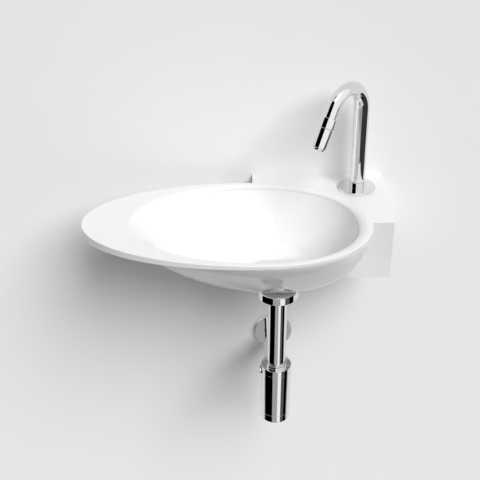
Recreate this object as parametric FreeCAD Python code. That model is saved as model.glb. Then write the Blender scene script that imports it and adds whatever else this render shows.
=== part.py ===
import FreeCAD, Part
import math
import os

V = FreeCAD.Vector
OUT = "parts"
UP = V(0, 0, 1)

# The frame: X runs along the wall to the right, Y into the wall, Z up.  The wall is the plane
# y = 0, and the origin is midway between the two hanger bolts.

# ---- ceramic basin ---------------------------------------------------------------------------
RIM_ABOVE_BOLTS = 60.0        # hanger bolts to the top of the rim
BOLT_SPACING = 140.0          # between the two hanger bolts
EGG_NOSE = 280.0              # widest place of the plate to its pointed end, on the left
EGG_ROUND = 185.0             # widest place of the plate to its round end, on the right
EGG_HALF_DEPTH = 137.9        # half the plate's depth
EGG_AXIS_FROM_WALL = 171.0    # wall to the plate's long axis
EGG_FULLNESS = 0.604          # of the round end's quarters; ELLIPSE would make them elliptic
ELLIPSE = 0.5523
PLATE_EDGE = 13.2             # height of the plate's edge at the pointed end
PLATE_EDGE_ROUND = 1.8        # height of that edge at the round end
PLATE_EDGE_RADIUS = 1.5       # rounding of the plate's upper edge
BLOCK_WIDTH = 227.0           # square block that stands against the wall
BLOCK_DEPTH = 174.0
BLOCK_HEIGHT = 102.7
BLOCK_BEYOND_EGG = 36.0       # the block's right face past the plate's round end
BLOCK_CORNER = 2.0            # rounding of the block's upright corners
BLOCK_EDGE = 1.0              # rounding of the block's top edges
BLOCK_SHELL = 11.0            # ceramic of the block's sides and front
BACK_WALL = 14.0              # ceramic of the block's back
DECK = 14.0                   # ceramic of the block's top

# ---- bowl ------------------------------------------------------------------------------------
DRAIN_FROM_ROUND_END = 149.0  # plate's round end to the drain's axis
DRAIN_FROM_WALL = 174.0
BOWL_DEPTH = 98.0             # rim to the floor of the bowl
DRAIN_CERAMIC = 20.5          # ceramic under that floor, at the drain
PAD_RADIUS = 25.5             # flat pad under the bowl, round the drain
FLOOR_RADIUS = 35.0           # flat floor round the drain
BOWL_NOSE_OUTSIDE = 211.0     # widest place to the bowl's left end, under the plate
BOWL_START = 6.0              # rim to where the bowl's outside starts to curve in
PLATE_OVER_BOWL = 0.3         # the plate stands out past the bowl by this, at the round end
OPENING_NOSE = 206.0          # widest place to where the deck starts to dip, on the left
OPENING_ROUND = 179.2         # widest place to where the lip starts to round over, on the right
OPENING_HALF_DEPTH = 131.0
LIP_RADIUS = 7.0              # rounded lip inside the rim
LIP_WIDTH_ROUND = 16.0        # the lip's rounding is drawn out to this at the round end
TAP_FROM_RIGHT_FACE = 49.8    # block's right face to the tap's axis
TAP_FROM_WALL = 54.0

# Fullness of the bowl's walls, from rim to floor: see wall_place().
OUTSIDE_RIGHT = (1.555, 2.791)
OUTSIDE_LEFT = (1.336, 1.947)
OUTSIDE_SIDE = (1.2, 1.1)
INSIDE_RIGHT = (1.35, 2.1)
INSIDE_LEFT = (0.55, 3.46)
INSIDE_SIDE = (0.95, 1.275)

# ---- wall fixing -----------------------------------------------------------------------------
BOLT_D = 10.0
BOLT_IN_WALL = 60.0
BOLT_PAST_NUT = 8.0
BOLT_NECK = 4.0               # plain neck behind the wood thread, at the face of the wall
BOLT_NECK_D = 8.6
FIX_HOLE_D = 14.0
BUSH_FLANGE_D = 24.0
BUSH_FLANGE = 2.5
WASHER_D = 22.0
WASHER_THICK = 2.0
NUT_FLATS = 17.0
NUT_HEIGHT = 8.0

# ---- waste -----------------------------------------------------------------------------------
WASTE_HOLE_D = 45.0
TAIL_D = 41.9                 # 1 1/4 inch waste thread
TAIL_BORE = 35.0
WASTE_FLANGE_D = 62.0
WASTE_FLANGE = 2.0
UPPER_SEAL = 2.0
LOWER_SEAL = 1.2
LOWER_SEAL_D = 50.0
COVER_SIDE = 68.0             # the drain cover is square with rounded corners
COVER_CORNER = 10.0
COVER_EDGE = 0.8              # chamfer of its upper edge
COVER_THICK = 3.0
COVER_GAP = 5.0               # water way between cover and floor
STEM_D = 8.0
STEM_LENGTH = 34.0
BOSS_D = 14.0
BOSS_BELOW_FLOOR = 12.0
BOSS_HEIGHT = 10.0
BAR_WIDTH = 3.0
COVER_NUT_D = 68.7            # chrome nut that shows under the bowl
COVER_NUT_HEIGHT = 18.0
COVER_NUT_FLOOR = 4.0
COVER_NUT_CHAMFER = 1.0
COVER_NUT_SLOPE = 3.2         # height of the slope from its side to its upper face
COVER_NUT_FACE_D = 52.0
TUBE_D = 32.0
TUBE_WALL = 1.5
TUBE_IN_TAIL = 12.0
TUBE_SEAL = 4.0

# ---- trap ------------------------------------------------------------------------------------
TRAP_TOP_BELOW_RIM = 279.0
TRAP_HEIGHT = 113.0
TRAP_TOP_D = 52.3
TRAP_TAPER = 3.2              # the trap is narrower by this at its bottom
TRAP_WALL = 2.2
TRAP_RIM = 2.4                # the body's rim round the lid
LINE_BELOW_TOP = 12.0         # fine line round the body
LINE = 0.4
LID_RECESS = 1.4              # the lid's face below the body's rim
LID_THICK = 6.6
LID_SEAL = 2.0
LID_COLLAR_D = 36.0
LID_COLLAR_HEIGHT = 6.5
TUBE_RING = 3.0               # seal between lid and down tube
TUBE_RING_D = 36.0
CAP_HEIGHT = 14.5
CAP_FLOOR = 3.0
CAP_SPIGOT = 10.0
CAP_EDGE = 1.0
DIP_ABOVE_FLOOR = 12.0        # the cap's floor to the tube's lower end
PLUG_D = 15.0                 # round plug on the trap's left side
PLUG_PROUD = 2.6
PLUG_THREAD_D = 7.0
PLUG_SEAL_D = 13.0
PLUG_BELOW_TOP = 13.6
OUTLET_BELOW_TOP = 49.0
OUTLET_D = 32.0
OUTLET_WALL = 1.5
SOCKET_PROUD = 4.0            # the body's socket for the outlet sleeve
SLEEVE_D = 36.4
SLEEVE_TO_WALL = 52.0
OUTLET_IN_WALL = 50.0
WALL_MARK = 0.6               # scored ring on the pipe that shows how far it goes into the wall
WALL_MARK_DEPTH = 0.2
OUTLET_SEAL = 5.0
OUTLET_SEAL_D = 35.0
ROSETTE_D = 71.0
ROSETTE_THICK = 8.0
ROSETTE_SHELL = 2.0
ROSETTE_EDGE = 1.5
ROSETTE_RING = 3.0

# ---- tap -------------------------------------------------------------------------------------
TAP_HOLE_D = 35.0
ESCUTCHEON_D = 62.5
ESCUTCHEON_THICK = 5.0
ESCUTCHEON_EDGE = 0.8
GASKET_THICK = 1.0
GASKET_D = 56.0
COLUMN_D = 25.4
BASE_COLLAR = 10.0            # fixed ring on the escutcheon
FOOT_RING = 10.0              # ring above it, which turns with the spout
RING_EDGE = 0.3               # chamfer that shows as a seam between the rings
SEAM = 0.4                    # gap between pieces that turn on each other
ARC_START = 147.0             # rim to where the column starts to bend
ARC_RADIUS = 43.3
ARC_SWEEP = 149.2             # degrees
SPOUT_HEADING = 229.0         # degrees from +X, seen from above: towards the bowl
SPOUT_END_D = 20.8            # the spout tapers to this along its bend
SPOUT_STRAIGHT = 68.8         # end of the bend to the outlet
SPOUT_WALL = 1.9
SHANK_D = 20.955              # 1/2 inch thread
SHANK_BORE = 11.0
SHANK_BELOW_DECK = 48.0
INLET_D = 16.662              # 3/8 inch thread for the supply hose, at the shank's lower end
INLET_LENGTH = 15.0
JOURNAL_D = 19.0
JOURNAL_HEIGHT = 36.0
BUSH_HEIGHT = 12.0
STOP_HEIGHT = 16.5            # foot of the turning part to the stop screw
STOP_SCREW_D = 3.0
STOP_GROOVE = 1.5             # depth of the groove that the screw's tip rides in
CLAMP_PAD = 3.0
CLAMP_PLATE = 2.0
CLAMP_D = 44.0
CLAMP_NUT_FLATS = 27.0
CLAMP_NUT_HEIGHT = 10.0
COLLAR_RING_D = 26.4
COLLAR_RING_LENGTH = 16.3
COLLAR_RING_EDGE = 0.6
SLEEVE_TOP_D = 25.2
SLEEVE_END_D = 23.6
CONTROL_LENGTH = 32.5
NOZZLE_D = 19.6
NOZZLE_PROUD = 4.0
NOZZLE_THREAD = 5.0
NOZZLE_THREAD_D = 17.6
NOZZLE_BORE = 10.0
SLEEVE_WEB = 2.0              # floor of the sleeve, which drives the disc
CARTRIDGE_D = 19.4
CARTRIDGE_WALL = 1.6
CARTRIDGE_NECK = 8.0          # its length inside the spout
DRIVER_D = 12.0
DRIVER_BORE = 8.0
DRIVER_FLANGE = 1.5
DISC_THICK = 3.0
DISC_WAY_D = 3.2              # each of the two holes in a disc

RUNNING = 0.05                # radial clearance of a turning or sliding fit
LOOSE = 0.3                   # gap between pieces that only pass each other
RING_WIRE = 2.0               # thickness of the small sealing rings
OVERREACH = 10.0              # how far a cutting shape runs past what it cuts

# ---- places worked out from the sizes ---------------------------------------------------------
RIM_Z = RIM_ABOVE_BOLTS
RIGHT_FACE = BLOCK_WIDTH / 2
ROUND_END = RIGHT_FACE - BLOCK_BEYOND_EGG
EGG_X = ROUND_END - EGG_ROUND
EGG_Y = -EGG_AXIS_FROM_WALL
DRAIN_X = ROUND_END - DRAIN_FROM_ROUND_END
DRAIN_Y = -DRAIN_FROM_WALL
FLOOR_Z = RIM_Z - BOWL_DEPTH
PAD_Z = FLOOR_Z - DRAIN_CERAMIC
TAP_X = RIGHT_FACE - TAP_FROM_RIGHT_FACE
TAP_Y = -TAP_FROM_WALL
DECK_UNDERSIDE = RIM_Z - DECK
NUT_Z = PAD_Z - LOWER_SEAL
NUT_BOTTOM = NUT_Z - COVER_NUT_HEIGHT
TUBE_SEAL_Z = NUT_BOTTOM + COVER_NUT_FLOOR
TAIL_END = TUBE_SEAL_Z + TUBE_SEAL
TRAP_TOP = RIM_Z - TRAP_TOP_BELOW_RIM
TRAP_BOTTOM = TRAP_TOP - TRAP_HEIGHT
TRAP_BOTTOM_D = TRAP_TOP_D - TRAP_TAPER
CAP_Z = TRAP_BOTTOM + CAP_HEIGHT
OUTLET_Z = TRAP_TOP - OUTLET_BELOW_TOP
TURN_Z = RIM_Z + ESCUTCHEON_THICK + BASE_COLLAR + SEAM
COLUMN_Z = TURN_Z + FOOT_RING
BEND_Z = RIM_Z + ARC_START
JOURNAL_TOP = TURN_Z + JOURNAL_HEIGHT
HEADING = V(math.cos(math.radians(SPOUT_HEADING)), math.sin(math.radians(SPOUT_HEADING)), 0)


# ---- shared shapes ---------------------------------------------------------------------------
def rod(diameter, length, x, y, z, along=UP):
    return Part.makeCylinder(diameter / 2, length, V(x, y, z), along)


def tube(outer, inner, length, x, y, z, along=UP):
    return rod(outer, length, x, y, z, along).cut(rod(inner, length, x, y, z, along))


def cone(lower_d, upper_d, length, x, y, z):
    if abs(lower_d - upper_d) < 1e-6:
        return rod(lower_d, length, x, y, z)
    return Part.makeCone(lower_d / 2, upper_d / 2, length, V(x, y, z), UP)


def hex_nut(flats, height, bore, x, y, z, along=UP):
    corner = flats / math.sqrt(3)
    points = [V(corner * math.cos(math.radians(60 * k)), corner * math.sin(math.radians(60 * k)), 0)
              for k in range(7)]
    nut = Part.Face(Part.makePolygon(points)).extrude(V(0, 0, height))
    nut = nut.cut(rod(bore, height, 0, 0, 0))
    turn = FreeCAD.Rotation(UP, along)
    nut.Placement = FreeCAD.Placement(V(x, y, z), turn)
    return nut


def save(name, *shapes):
    shape = shapes[0] if len(shapes) == 1 else Part.makeCompound(list(shapes))
    shape.exportStep(os.path.join(OUT, name + ".step"))
    print(name, len(shape.Solids), round(shape.Volume / 1000, 2), shape.isValid())


# ---- ceramic ---------------------------------------------------------------------------------
def quarter(x, y, z, along, across, fullness, from_side):
    """Quarter of an oval, as one curve whose handles are fullness times its half axes."""
    ends = [V(x, y + across, z), V(x + fullness * along, y + across, z),
            V(x + along, y + fullness * across, z), V(x + along, y, z)]
    curve = Part.BezierCurve()
    curve.setPoles(ends if from_side else ends[::-1])
    return curve.toShape()


def egg(x, y, z, nose, round_end, half_depth, fullness=EGG_FULLNESS):
    """The egg outline: a long half ellipse to the left, a short and fuller half to the right."""
    return Part.Wire([quarter(x, y, z, round_end, -half_depth, fullness, True),
                      quarter(x, y, z, round_end, half_depth, fullness, False),
                      quarter(x, y, z, -nose, half_depth, ELLIPSE, True),
                      quarter(x, y, z, -nose, -half_depth, ELLIPSE, False)])


def wall_place(rim, floor, down, fullness):
    """Place of a bowl's wall between its rim and its floor; down is 0 at the rim, 1 at the floor."""
    power, root = fullness
    return floor + (rim - floor) * max(1 - down ** power, 0.0) ** (1 / root)


def bowl_section(z, left, rim, floor_radius, down, fullness):
    """One level outline of the bowl; rim is its right end and half depth at the top."""
    right = wall_place(rim[0], DRAIN_X + floor_radius, down, fullness[0])
    half = wall_place(rim[1], floor_radius, down, fullness[1])
    middle = wall_place(EGG_X, DRAIN_X, down, fullness[1])
    y = wall_place(EGG_Y, DRAIN_Y, down, fullness[1])
    full = wall_place(EGG_FULLNESS, ELLIPSE, down, fullness[1])
    return egg(middle, y, z, middle - left, right - middle, half, full)


def bowl_outside():
    """Outside of the bowl, from just under the rim to the pad round the drain."""
    rim = (ROUND_END - PLATE_OVER_BOWL, EGG_HALF_DEPTH - PLATE_OVER_BOWL)
    fullness = (OUTSIDE_RIGHT, OUTSIDE_SIDE)
    depth = RIM_Z - BOWL_START - PAD_Z
    steps = 8
    wires = [bowl_section(RIM_Z, EGG_X - BOWL_NOSE_OUTSIDE, rim, PAD_RADIUS, 0, fullness)]
    for k in range(steps + 1):
        down = math.sin(math.pi / 2 * k / steps)
        left = wall_place(EGG_X - BOWL_NOSE_OUTSIDE, DRAIN_X - PAD_RADIUS, down, OUTSIDE_LEFT)
        z = RIM_Z - BOWL_START - depth * down
        wires.append(bowl_section(z, left, rim, PAD_RADIUS, down, fullness))
    bowl = Part.makeLoft(wires, True, False)
    top = PLATE_EDGE_RADIUS
    reach = EGG_NOSE + EGG_ROUND
    above = Part.makeBox(2 * reach, reach, 2 * top, V(EGG_X - reach, EGG_Y - reach / 2, RIM_Z - top))
    return bowl.cut(above)


def inside_left(down):
    """Place of the bowl's sloping left wall."""
    return wall_place(EGG_X - OPENING_NOSE, DRAIN_X - FLOOR_RADIUS, down, INSIDE_LEFT)


def lip_section(turn):
    """Outline of the rounded lip, turn degrees over from the flat deck."""
    over = math.sin(math.radians(turn))
    drop = LIP_RADIUS * (1 - math.cos(math.radians(turn)))
    return egg(EGG_X, EGG_Y, RIM_Z - drop, EGG_X - inside_left(drop / BOWL_DEPTH),
               OPENING_ROUND - LIP_WIDTH_ROUND * over, OPENING_HALF_DEPTH - LIP_RADIUS * over)


def bowl_inside():
    """The bowl's hollow: the lip's rounding, and the wall below it down to the flat floor."""
    wires = [lip_section(turn) for turn in (0, 30, 60)]
    rim = (EGG_X + OPENING_ROUND - LIP_WIDTH_ROUND, OPENING_HALF_DEPTH - LIP_RADIUS)
    depth = BOWL_DEPTH - LIP_RADIUS
    steps = 8
    for k in range(steps + 1):
        down = math.sin(math.pi / 2 * k / steps)
        z = RIM_Z - LIP_RADIUS - depth * down
        left = inside_left((RIM_Z - z) / BOWL_DEPTH)
        wires.append(bowl_section(z, left, rim, FLOOR_RADIUS, down, (INSIDE_RIGHT, INSIDE_SIDE)))
    return Part.makeLoft(wires, True, False)


def plate():
    """The flat egg plate; its underside rises towards the round end."""
    wires = []
    for turn in (0, 30, 60, 90):
        inset = PLATE_EDGE_RADIUS * (1 - math.sin(math.radians(turn)))
        z = RIM_Z - PLATE_EDGE_RADIUS * (1 - math.cos(math.radians(turn)))
        wires.append(egg(EGG_X, EGG_Y, z, EGG_NOSE - inset, EGG_ROUND - inset, EGG_HALF_DEPTH - inset))
    wires.append(egg(EGG_X, EGG_Y, RIM_Z - PLATE_EDGE, EGG_NOSE, EGG_ROUND, EGG_HALF_DEPTH))
    body = Part.makeLoft(wires, True, True)
    nose = EGG_X - EGG_NOSE
    front = EGG_Y - EGG_HALF_DEPTH - OVERREACH
    left = nose - OVERREACH
    right = ROUND_END + OVERREACH
    high = RIM_Z + OVERREACH
    wedge = Part.makePolygon([V(left, front, high), V(left, front, RIM_Z - PLATE_EDGE),
                              V(nose, front, RIM_Z - PLATE_EDGE),
                              V(right, front, RIM_Z - PLATE_EDGE_ROUND), V(right, front, high),
                              V(left, front, high)])
    return body.common(Part.Face(wedge).extrude(V(0, 2 * (EGG_HALF_DEPTH + OVERREACH), 0)))


def block():
    box = Part.makeBox(BLOCK_WIDTH, BLOCK_DEPTH, BLOCK_HEIGHT,
                       V(-BLOCK_WIDTH / 2, -BLOCK_DEPTH, RIM_Z - BLOCK_HEIGHT))
    upright = [e for e in box.Edges
               if abs(e.BoundBox.ZLength - BLOCK_HEIGHT) < 0.01 and e.BoundBox.YMax < -BLOCK_DEPTH / 2]
    box = box.makeFillet(BLOCK_CORNER, upright)
    top = [e for e in box.Edges if e.BoundBox.ZMin > RIM_Z - 0.01 and e.BoundBox.YMin < -0.01]
    return box.makeFillet(BLOCK_EDGE, top)


def block_hollow():
    """The room under the deck, open below, where the nuts are reached."""
    return Part.makeBox(BLOCK_WIDTH - 2 * BLOCK_SHELL, BLOCK_DEPTH - BACK_WALL - BLOCK_SHELL,
                        BLOCK_HEIGHT - DECK,
                        V(BLOCK_SHELL - BLOCK_WIDTH / 2, BLOCK_SHELL - BLOCK_DEPTH,
                          RIM_Z - BLOCK_HEIGHT))


def bolt_places():
    return [side * BOLT_SPACING / 2 for side in (-1, 1)]


def basin():
    outside = bowl_outside()
    shell = block().cut(block_hollow().cut(outside))
    shell = shell.fuse(plate()).fuse(outside)
    shell = shell.cut(bowl_inside())
    shell = shell.cut(rod(WASTE_HOLE_D, DRAIN_CERAMIC, DRAIN_X, DRAIN_Y, PAD_Z))
    recess = WASTE_FLANGE + UPPER_SEAL
    shell = shell.cut(rod(WASTE_FLANGE_D + 2 * LOOSE, recess, DRAIN_X, DRAIN_Y, FLOOR_Z - recess))
    shell = shell.cut(rod(TAP_HOLE_D, DECK, TAP_X, TAP_Y, DECK_UNDERSIDE))
    for x in bolt_places():
        shell = shell.cut(rod(FIX_HOLE_D, BACK_WALL, x, -BACK_WALL, 0, V(0, 1, 0)))
    return shell.removeSplitter()


# ---- wall fixing -----------------------------------------------------------------------------
def fixings():
    inward = V(0, -1, 0)
    bushes, washers, nuts, bolts = [], [], [], []
    washer_y = -BACK_WALL - BUSH_FLANGE
    nut_y = washer_y - WASHER_THICK
    for x in bolt_places():
        collar = tube(FIX_HOLE_D, BOLT_D, BACK_WALL, x, 0, 0, inward)
        flange = tube(BUSH_FLANGE_D, BOLT_D, BUSH_FLANGE, x, -BACK_WALL, 0, inward)
        bushes.append(collar.fuse(flange).removeSplitter())
        washers.append(tube(WASHER_D, BOLT_D, WASHER_THICK, x, washer_y, 0, inward))
        nuts.append(hex_nut(NUT_FLATS, NUT_HEIGHT, BOLT_D, x, nut_y, 0, inward))
        front = nut_y - NUT_HEIGHT - BOLT_PAST_NUT
        shaft = rod(BOLT_D, BOLT_IN_WALL - BOLT_D - front, x, front, 0, V(0, 1, 0))
        point = Part.makeCone(BOLT_D / 2, BOLT_D / 8, BOLT_D, V(x, BOLT_IN_WALL - BOLT_D, 0),
                              V(0, 1, 0))
        neck = tube(FIX_HOLE_D, BOLT_NECK_D, BOLT_NECK, x, 0, 0, inward)
        bolts.append(shaft.fuse(point).cut(neck).removeSplitter())
    save("bolt_bushes", *bushes)
    save("bolt_washers", *washers)
    save("bolt_nuts", *nuts)
    save("hanger_bolts", *bolts)


# ---- waste -----------------------------------------------------------------------------------
def waste_body():
    """Flange in the floor of the bowl, threaded tail, and the bar that carries the cover's stem."""
    top = FLOOR_Z
    flange = tube(WASTE_FLANGE_D, TAIL_BORE, WASTE_FLANGE, DRAIN_X, DRAIN_Y, top - WASTE_FLANGE)
    tail = tube(TAIL_D, TAIL_BORE, top - TAIL_END, DRAIN_X, DRAIN_Y, TAIL_END)
    boss_z = top - BOSS_BELOW_FLOOR - BOSS_HEIGHT
    boss = rod(BOSS_D, BOSS_HEIGHT, DRAIN_X, DRAIN_Y, boss_z)
    body = flange.fuse(tail).fuse(boss)
    reach = (TAIL_BORE + TAIL_D) / 4
    for turn in (0, 60, 120):
        bar = Part.makeBox(2 * reach, BAR_WIDTH, BOSS_HEIGHT / 2, V(-reach, -BAR_WIDTH / 2, 0))
        bar.rotate(V(0, 0, 0), UP, turn)
        bar.translate(V(DRAIN_X, DRAIN_Y, boss_z + BOSS_HEIGHT / 4))
        body = body.fuse(bar)
    return body.cut(rod(STEM_D + 2 * RUNNING, BOSS_HEIGHT, DRAIN_X, DRAIN_Y, boss_z)).removeSplitter()


def drain_cover():
    """Square cover on a stem; a shoulder on the stem rests on the waste's boss."""
    under = FLOOR_Z + COVER_GAP
    half = COVER_SIDE / 2
    cover = Part.makeBox(COVER_SIDE, COVER_SIDE, COVER_THICK, V(DRAIN_X - half, DRAIN_Y - half, under))
    cover = cover.makeFillet(COVER_CORNER, [e for e in cover.Edges if e.BoundBox.ZLength > 0.01])
    upper = [e for e in cover.Edges if e.BoundBox.ZMin > under + COVER_THICK - 0.01]
    cover = cover.makeChamfer(COVER_EDGE, upper)
    boss_top = FLOOR_Z - BOSS_BELOW_FLOOR
    shoulder = rod(BOSS_D, under - boss_top - RUNNING, DRAIN_X, DRAIN_Y, boss_top + RUNNING)
    stem = rod(STEM_D, STEM_LENGTH, DRAIN_X, DRAIN_Y, under - STEM_LENGTH)
    return cover.fuse(shoulder).fuse(stem).cut(stem_ring()).removeSplitter()


def stem_ring():
    """Rubber ring in a groove of the stem, inside the waste's boss."""
    middle = FLOOR_Z - BOSS_BELOW_FLOOR - BOSS_HEIGHT / 2
    return tube(STEM_D, STEM_D - RING_WIRE, RING_WIRE, DRAIN_X, DRAIN_Y, middle - RING_WIRE / 2)


def cover_nut():
    """Chrome nut under the bowl: screws on the tail and squeezes the tube's seal."""
    body = rod(COVER_NUT_D, COVER_NUT_HEIGHT - COVER_NUT_SLOPE, DRAIN_X, DRAIN_Y, NUT_BOTTOM)
    lower = [e for e in body.Edges if abs(e.BoundBox.ZMax - NUT_BOTTOM) < 0.01]
    body = body.makeChamfer(COVER_NUT_CHAMFER, lower)
    body = body.fuse(cone(COVER_NUT_D, COVER_NUT_FACE_D, COVER_NUT_SLOPE, DRAIN_X, DRAIN_Y,
                          NUT_Z - COVER_NUT_SLOPE))
    body = body.cut(rod(TAIL_D, COVER_NUT_HEIGHT - COVER_NUT_FLOOR, DRAIN_X, DRAIN_Y, TUBE_SEAL_Z))
    return body.cut(rod(TUBE_D, COVER_NUT_FLOOR, DRAIN_X, DRAIN_Y, NUT_BOTTOM))


def waste():
    save("waste_body", waste_body())
    seal_z = FLOOR_Z - WASTE_FLANGE - UPPER_SEAL
    save("waste_upper_seal", tube(WASTE_FLANGE_D - 2, TAIL_D, UPPER_SEAL, DRAIN_X, DRAIN_Y, seal_z))
    save("waste_lower_seal", tube(LOWER_SEAL_D, TAIL_D, LOWER_SEAL, DRAIN_X, DRAIN_Y, NUT_Z))
    save("drain_cover", drain_cover())
    save("cover_stem_ring", stem_ring())
    save("waste_cover_nut", cover_nut())
    save("waste_tube_seal", tube(TAIL_D, TUBE_D, TUBE_SEAL, DRAIN_X, DRAIN_Y, TUBE_SEAL_Z))


# ---- trap ------------------------------------------------------------------------------------
def trap_d(z):
    """The trap narrows a little from its top to its bottom."""
    share = (TRAP_TOP - z) / TRAP_HEIGHT
    return TRAP_TOP_D - TRAP_TAPER * share


def trap_bore():
    return TRAP_BOTTOM_D - 2 * TRAP_WALL


def down_tube():
    top = TAIL_END + TUBE_IN_TAIL
    bottom = TRAP_BOTTOM + CAP_FLOOR + DIP_ABOVE_FLOOR
    return tube(TUBE_D, TUBE_D - 2 * TUBE_WALL, top - bottom, DRAIN_X, DRAIN_Y, bottom)


def trap_lid():
    """Lid sunk in the top of the body, with a collar round the down tube and a seal in its bore."""
    face = TRAP_TOP - LID_RECESS
    under = face - LID_THICK
    lid = rod(TRAP_TOP_D - 2 * TRAP_RIM, LID_THICK, DRAIN_X, DRAIN_Y, under)
    lid = lid.fuse(rod(LID_COLLAR_D, LID_COLLAR_HEIGHT, DRAIN_X, DRAIN_Y, face))
    lid = lid.cut(rod(TUBE_D, LID_THICK + LID_COLLAR_HEIGHT, DRAIN_X, DRAIN_Y, under))
    groove = rod(TUBE_RING_D, TUBE_RING, DRAIN_X, DRAIN_Y, under + (LID_THICK - TUBE_RING) / 2)
    return lid.cut(groove).removeSplitter()


def lid_seals():
    """Flat ring between lid and body, and the ring that seals the lid on the down tube."""
    under = TRAP_TOP - LID_RECESS - LID_THICK
    save("trap_lid_seal", tube(TRAP_TOP_D - 2 * TRAP_RIM, trap_bore(), LID_SEAL, DRAIN_X, DRAIN_Y,
                               under - LID_SEAL))
    save("trap_tube_seal", tube(TUBE_RING_D, TUBE_D, TUBE_RING, DRAIN_X, DRAIN_Y,
                                under + (LID_THICK - TUBE_RING) / 2))


def trap_outside():
    return cone(trap_d(CAP_Z), trap_d(TRAP_TOP), TRAP_TOP - CAP_Z, DRAIN_X, DRAIN_Y, CAP_Z)


def trap_body():
    """The cup, open below for the cap, with a seat for the lid and a socket for the outlet."""
    body = trap_outside()
    line_z = TRAP_TOP - LINE_BELOW_TOP
    body = body.cut(tube(TRAP_TOP_D + 2, trap_d(line_z) - 2 * LINE, LINE, DRAIN_X, DRAIN_Y, line_z))
    body = body.fuse(rod(SLEEVE_D, TRAP_TOP_D / 2 + SOCKET_PROUD, DRAIN_X, DRAIN_Y, OUTLET_Z,
                         V(0, 1, 0)))
    body = body.cut(rod(trap_bore(), TRAP_TOP - CAP_Z, DRAIN_X, DRAIN_Y, CAP_Z))
    seat = LID_RECESS + LID_THICK + LID_SEAL
    body = body.cut(rod(TRAP_TOP_D - 2 * TRAP_RIM, seat, DRAIN_X, DRAIN_Y, TRAP_TOP - seat))
    way = OUTLET_D - 2 * OUTLET_WALL
    body = body.cut(rod(way, TRAP_TOP_D, DRAIN_X, DRAIN_Y, OUTLET_Z, V(0, 1, 0)))
    plug_z = TRAP_TOP - PLUG_BELOW_TOP
    return body.cut(rod(PLUG_THREAD_D, TRAP_TOP_D, DRAIN_X, DRAIN_Y, plug_z, V(-1, 0, 0)))


def side_plug():
    """Round plug screwed into the left side of the trap; its seal fills the curve under its head."""
    z = TRAP_TOP - PLUG_BELOW_TOP
    left = V(-1, 0, 0)
    wall = trap_bore() / 2
    face = TRAP_TOP_D / 2
    thread = rod(PLUG_THREAD_D, face - wall, DRAIN_X - wall, DRAIN_Y, z, left)
    thread = thread.cut(rod(trap_bore(), 2 * PLUG_D, DRAIN_X, DRAIN_Y, z - PLUG_D))
    head = rod(PLUG_D, PLUG_PROUD, DRAIN_X - face, DRAIN_Y, z, left)
    outer = DRAIN_X - face - PLUG_PROUD
    edge = [e for e in head.Edges if abs(e.BoundBox.XMax - outer) < 0.01]
    head = head.makeFillet(PLUG_PROUD / 3, edge)
    seal = tube(PLUG_SEAL_D, PLUG_THREAD_D, face - wall, DRAIN_X - wall, DRAIN_Y, z, left)
    save("trap_side_plug", thread.fuse(head).removeSplitter())
    save("trap_side_plug_seal", seal.cut(trap_outside()))


def cap_spigot_d():
    return trap_bore() - 2 * RUNNING


def cap_ring_z():
    return CAP_Z + CAP_SPIGOT / 2


def trap_bottom_cap():
    """Cap that closes the trap below; its spigot screws into the body."""
    body = cone(trap_d(TRAP_BOTTOM), trap_d(CAP_Z), CAP_HEIGHT, DRAIN_X, DRAIN_Y, TRAP_BOTTOM)
    lower = [e for e in body.Edges if abs(e.BoundBox.ZMax - TRAP_BOTTOM) < 0.01]
    body = body.makeFillet(CAP_EDGE, lower)
    body = body.fuse(rod(cap_spigot_d(), CAP_SPIGOT, DRAIN_X, DRAIN_Y, CAP_Z))
    inner = cap_spigot_d() - 2 * TRAP_WALL
    depth = CAP_HEIGHT + CAP_SPIGOT - CAP_FLOOR
    body = body.cut(rod(inner, depth, DRAIN_X, DRAIN_Y, TRAP_BOTTOM + CAP_FLOOR))
    groove = tube(cap_spigot_d() + 2, cap_spigot_d() - RING_WIRE, RING_WIRE, DRAIN_X, DRAIN_Y,
                  cap_ring_z() - RING_WIRE / 2)
    body.translate(V(0, 0, -RUNNING))
    groove.translate(V(0, 0, -RUNNING))
    return body.cut(groove).removeSplitter()


def cap_ring():
    """Sealing ring in the groove of the cap's spigot."""
    inner = cap_spigot_d() - RING_WIRE + 2 * RUNNING
    ring = tube(cap_spigot_d(), inner, RING_WIRE - 2 * RUNNING, DRAIN_X, DRAIN_Y,
                cap_ring_z() - RING_WIRE / 2)
    return ring


def trap():
    save("down_tube", down_tube())
    save("trap_lid", trap_lid())
    lid_seals()
    save("trap_body", trap_body())
    side_plug()
    save("trap_bottom_cap", trap_bottom_cap())
    save("trap_cap_ring", cap_ring())


# ---- outlet to the wall ----------------------------------------------------------------------
def outlet():
    """Sleeve screwed to the trap's socket, and in it the pipe that goes into the wall."""
    into_wall = V(0, 1, 0)
    start = DRAIN_Y + TRAP_TOP_D / 2 + SOCKET_PROUD
    end = -SLEEVE_TO_WALL
    seal_y = end - 2 * OUTLET_SEAL
    sleeve = tube(SLEEVE_D, OUTLET_D, end - start, DRAIN_X, start, OUTLET_Z, into_wall)
    sleeve = sleeve.cut(rod(OUTLET_SEAL_D, OUTLET_SEAL, DRAIN_X, seal_y, OUTLET_Z, into_wall))
    save("outlet_sleeve", sleeve)
    save("outlet_seal", tube(OUTLET_SEAL_D, OUTLET_D, OUTLET_SEAL, DRAIN_X, seal_y, OUTLET_Z,
                             into_wall))
    pipe = tube(OUTLET_D, OUTLET_D - 2 * OUTLET_WALL, OUTLET_IN_WALL - start, DRAIN_X, start,
                OUTLET_Z, into_wall)
    mark = tube(SLEEVE_D, OUTLET_D - 2 * WALL_MARK_DEPTH, WALL_MARK, DRAIN_X, -WALL_MARK, OUTLET_Z,
                into_wall)
    save("outlet_pipe", pipe.cut(mark))


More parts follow.
